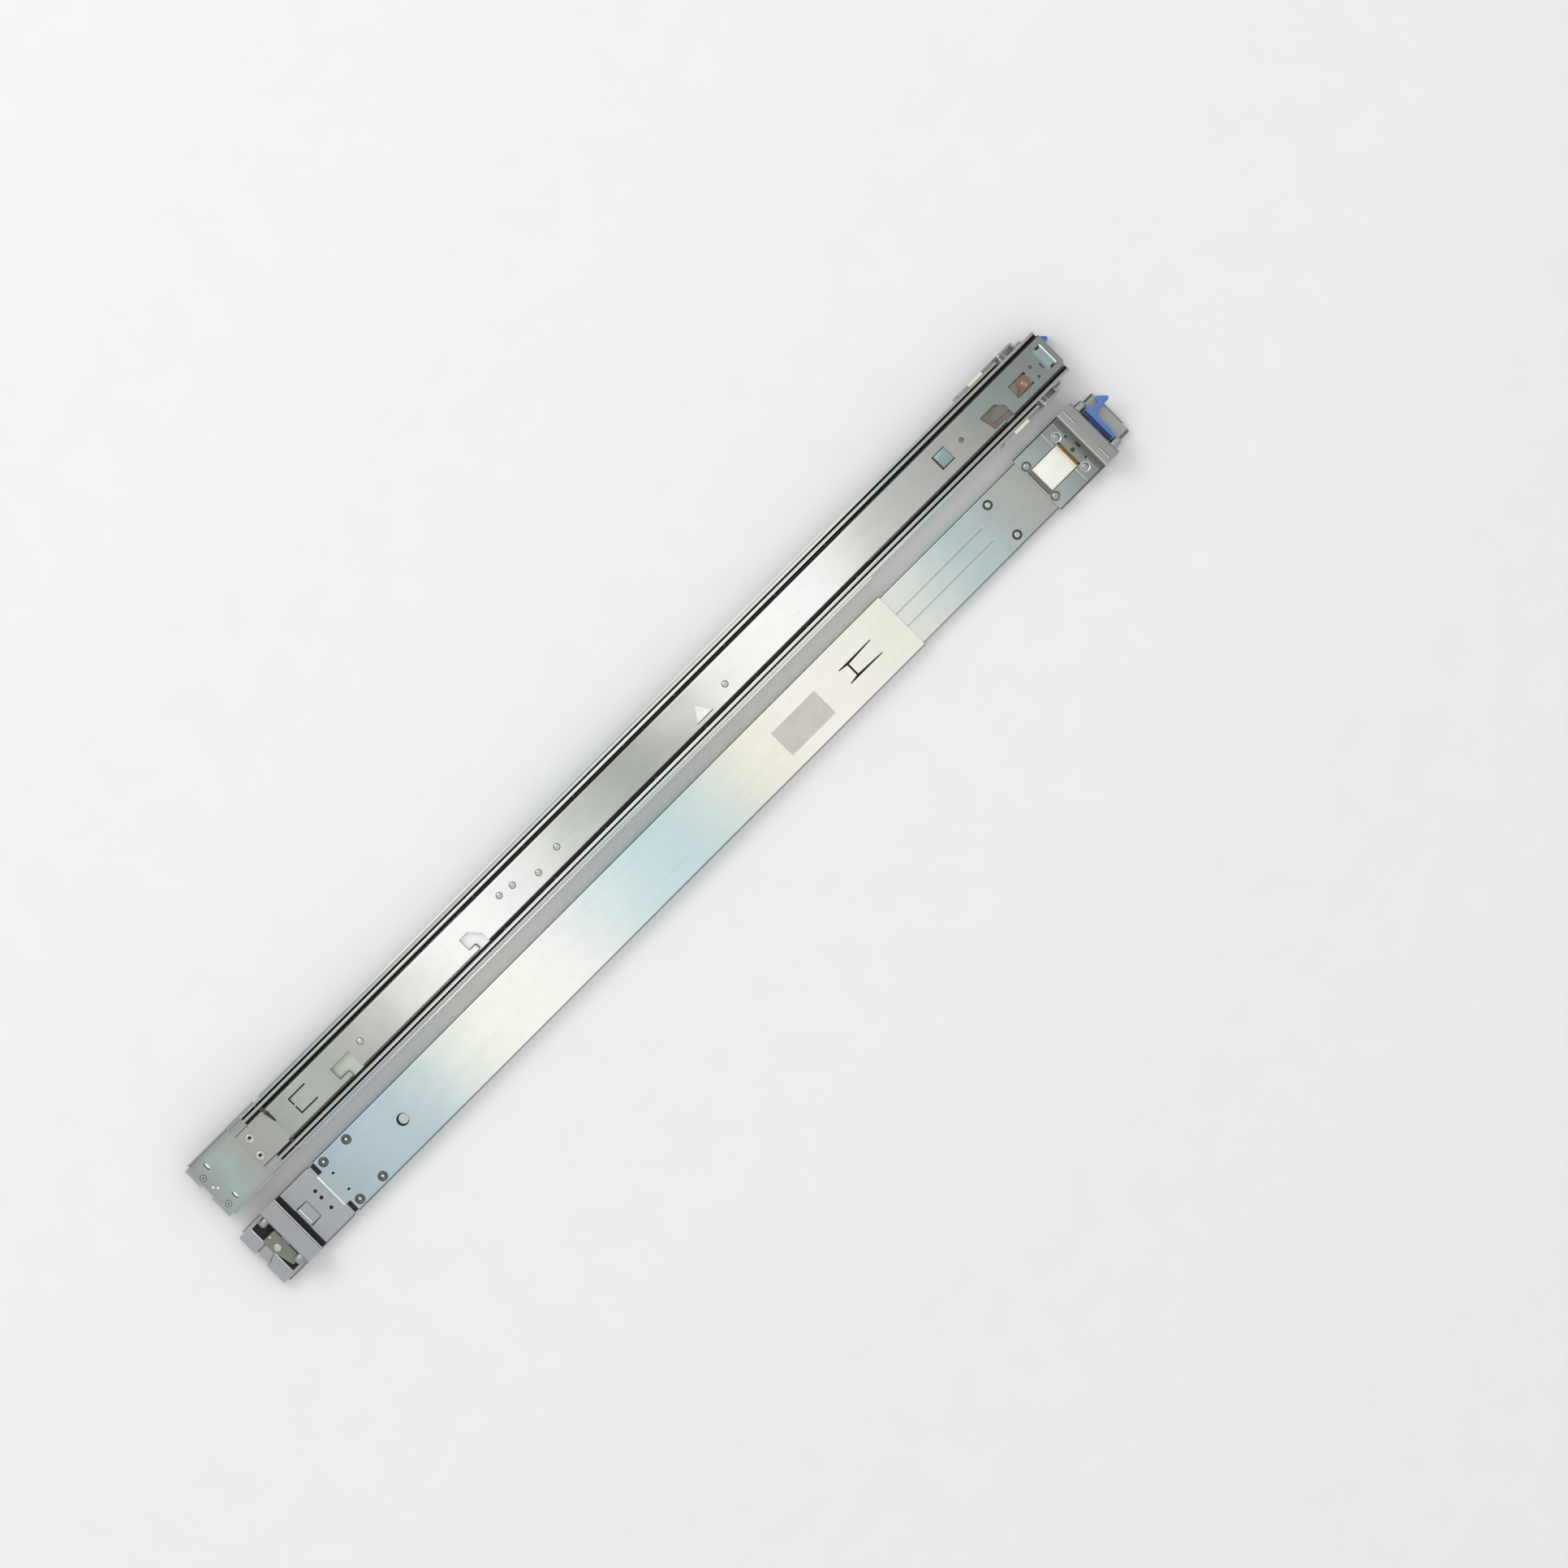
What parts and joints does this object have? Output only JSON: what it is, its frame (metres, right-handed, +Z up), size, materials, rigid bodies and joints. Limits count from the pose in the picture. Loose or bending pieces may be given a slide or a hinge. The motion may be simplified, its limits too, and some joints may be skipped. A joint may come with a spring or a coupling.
{
  "type": "sliding server rail pair",
  "caption": "Left and right ball-bearing server rails with an adjustable rear bracket, locating pins and a blue spring latch.",
  "frame": {"origin": "on the floor, under the middle of the pair as it lies", "axes": "+X along the rails towards the front of the rack, +Z up; the left rail lies at +Y with its server side up, the right rail at -Y with its rack side up"},
  "size_m": [0.7644, 0.098, 0.0219],
  "materials": {
    "channel_steel": "clear passivated zinc plate",
    "member_steel": "clear passivated zinc plate",
    "inner_steel": "clear passivated zinc plate, satin",
    "rear_bracket_steel": "zinc plate, satin",
    "front_bracket_steel": "zinc plate, satin",
    "pin_steel": "nickel plate",
    "rivet_steel": "zinc plate",
    "pawl_steel": "zinc plate, dark",
    "spring_steel": "drawn wire",
    "cage_steel": "plain strip",
    "ball_steel": "polished",
    "white_plastic": "moulded",
    "blue_plastic": "moulded",
    "black_rubber": "moulded",
    "copper": "copper coloured plate",
    "label_paper": "satin label stock"
  },
  "bodies": {
    "rails": {"left_outer_member": "member_steel", "left_front_bracket": "front_bracket_steel", "left_front_bracket_rivets": "rivet_steel", "left_front_pins": "pin_steel", "left_slide_block": "white_plastic", "left_side_glides": "white_plastic", "left_front_latch_pin": "rivet_steel", "left_front_latch_spring": "spring_steel", "right_outer_member": "member_steel", "right_front_bracket": "front_bracket_steel", "right_front_bracket_rivets": "rivet_steel", "right_front_pins": "pin_steel", "right_slide_block": "white_plastic", "right_side_glides": "white_plastic", "right_front_latch_pin": "rivet_steel", "right_front_latch_spring": "spring_steel"},
    "left_rear_extension": {"left_rear_channel": "channel_steel", "left_rear_bracket": "rear_bracket_steel", "left_rear_bracket_rivets": "rivet_steel", "left_rear_pins": "pin_steel", "left_rear_pawl_rivet": "rivet_steel"},
    "left_pawl": {"left_rear_pawl": "pawl_steel"},
    "left_latch": {"left_front_latch": "blue_plastic"},
    "left_intermediate": {"left_intermediate_member": "member_steel", "left_rear_bumper": "black_rubber"},
    "left_outer_cage": {"left_outer_ball_cage": "cage_steel", "left_outer_balls": "ball_steel"},
    "left_server_member": {"left_inner_member": "inner_steel", "left_inner_member_rivets": "rivet_steel", "left_lock_lever_rivet": "copper"},
    "left_inner_cage": {"left_inner_ball_cage": "cage_steel", "left_inner_balls": "ball_steel"},
    "left_lever": {"left_lock_lever": "pawl_steel"},
    "right_rear_extension": {"right_rear_channel": "channel_steel", "right_rear_bracket": "rear_bracket_steel", "right_rear_bracket_rivets": "rivet_steel", "right_rear_pins": "pin_steel", "right_rear_pawl_rivet": "rivet_steel", "right_label": "label_paper"},
    "right_pawl": {"right_rear_pawl": "pawl_steel"},
    "right_latch": {"right_front_latch": "blue_plastic"},
    "right_intermediate": {"right_intermediate_member": "member_steel", "right_rear_bumper": "black_rubber"},
    "right_outer_cage": {"right_outer_ball_cage": "cage_steel", "right_outer_balls": "ball_steel"},
    "right_server_member": {"right_inner_member": "inner_steel", "right_inner_member_rivets": "rivet_steel", "right_lock_lever_rivet": "copper"},
    "right_inner_cage": {"right_inner_ball_cage": "cage_steel", "right_inner_balls": "ball_steel"},
    "right_lever": {"right_lock_lever": "pawl_steel"}
  },
  "joints": [
    {"name": "left_depth_adjust", "type": "slide", "parent": "rails", "child": "left_rear_extension", "axis": [1, 0, 0], "range_m": [-0.096, 0.115]},
    {"name": "left_pawl_swing", "type": "hinge", "parent": "left_rear_extension", "child": "left_pawl", "pos_m": [-0.3634, 0.02545, 0.0118], "axis": [0, 0, 1], "range_deg": [-6, 0], "stiffness_Nm_per_rad": 0.02, "springref_deg": 11.46},
    {"name": "left_latch_swing", "type": "hinge", "parent": "rails", "child": "left_latch", "pos_m": [0.356, 0.02695, 0.005], "axis": [0, -1, 0], "range_deg": [0, 10], "stiffness_Nm_per_rad": 0.05, "springref_deg": -17.19},
    {"name": "left_intermediate_slide", "type": "slide", "parent": "rails", "child": "left_intermediate", "axis": [1, 0, 0], "range_m": [0, 0.33]},
    {"name": "left_outer_cage_roll", "type": "slide", "parent": "rails", "child": "left_outer_cage", "axis": [1, 0, 0], "range_m": [0, 0.165]},
    {"name": "left_server_slide", "type": "slide", "parent": "left_intermediate", "child": "left_server_member", "axis": [1, 0, 0], "range_m": [0, 0.35]},
    {"name": "left_inner_cage_roll", "type": "slide", "parent": "left_intermediate", "child": "left_inner_cage", "axis": [1, 0, 0], "range_m": [0, 0.175]},
    {"name": "left_lever_swing", "type": "hinge", "parent": "left_server_member", "child": "left_lever", "pos_m": [0.3497, 0.02445, 0.0203], "axis": [0, 0, 1], "range_deg": [-5, 0], "stiffness_Nm_per_rad": 0.02, "springref_deg": 11.46},
    {"name": "right_depth_adjust", "type": "slide", "parent": "rails", "child": "right_rear_extension", "axis": [1, 0, 0], "range_m": [-0.096, 0.1205]},
    {"name": "right_pawl_swing", "type": "hinge", "parent": "right_rear_extension", "child": "right_pawl", "pos_m": [-0.369, -0.02845, 0.0101], "axis": [0, 0, 1], "range_deg": [-6, 0], "stiffness_Nm_per_rad": 0.02, "springref_deg": 11.46},
    {"name": "right_latch_swing", "type": "hinge", "parent": "rails", "child": "right_latch", "pos_m": [0.356, -0.02695, 0.0169], "axis": [0, 1, 0], "range_deg": [0, 10], "stiffness_Nm_per_rad": 0.05, "springref_deg": -17.19},
    {"name": "right_intermediate_slide", "type": "slide", "parent": "rails", "child": "right_intermediate", "axis": [1, 0, 0], "range_m": [0, 0.33]},
    {"name": "right_outer_cage_roll", "type": "slide", "parent": "rails", "child": "right_outer_cage", "axis": [1, 0, 0], "range_m": [0, 0.165]},
    {"name": "right_server_slide", "type": "slide", "parent": "right_intermediate", "child": "right_server_member", "axis": [1, 0, 0], "range_m": [0, 0.35]},
    {"name": "right_inner_cage_roll", "type": "slide", "parent": "right_intermediate", "child": "right_inner_cage", "axis": [1, 0, 0], "range_m": [0, 0.175]},
    {"name": "right_lever_swing", "type": "hinge", "parent": "right_server_member", "child": "right_lever", "pos_m": [0.3497, -0.02945, 0.0016], "axis": [0, 0, 1], "range_deg": [-5, 0], "stiffness_Nm_per_rad": 0.02, "springref_deg": 11.46}
  ],
  "couplings": [
    {"joint": "left_outer_cage_roll", "follows": "left_intermediate_slide", "ratio": 0.5},
    {"joint": "left_inner_cage_roll", "follows": "left_server_slide", "ratio": 0.5},
    {"joint": "right_outer_cage_roll", "follows": "right_intermediate_slide", "ratio": 0.5},
    {"joint": "right_inner_cage_roll", "follows": "right_server_slide", "ratio": 0.5}
  ]
}
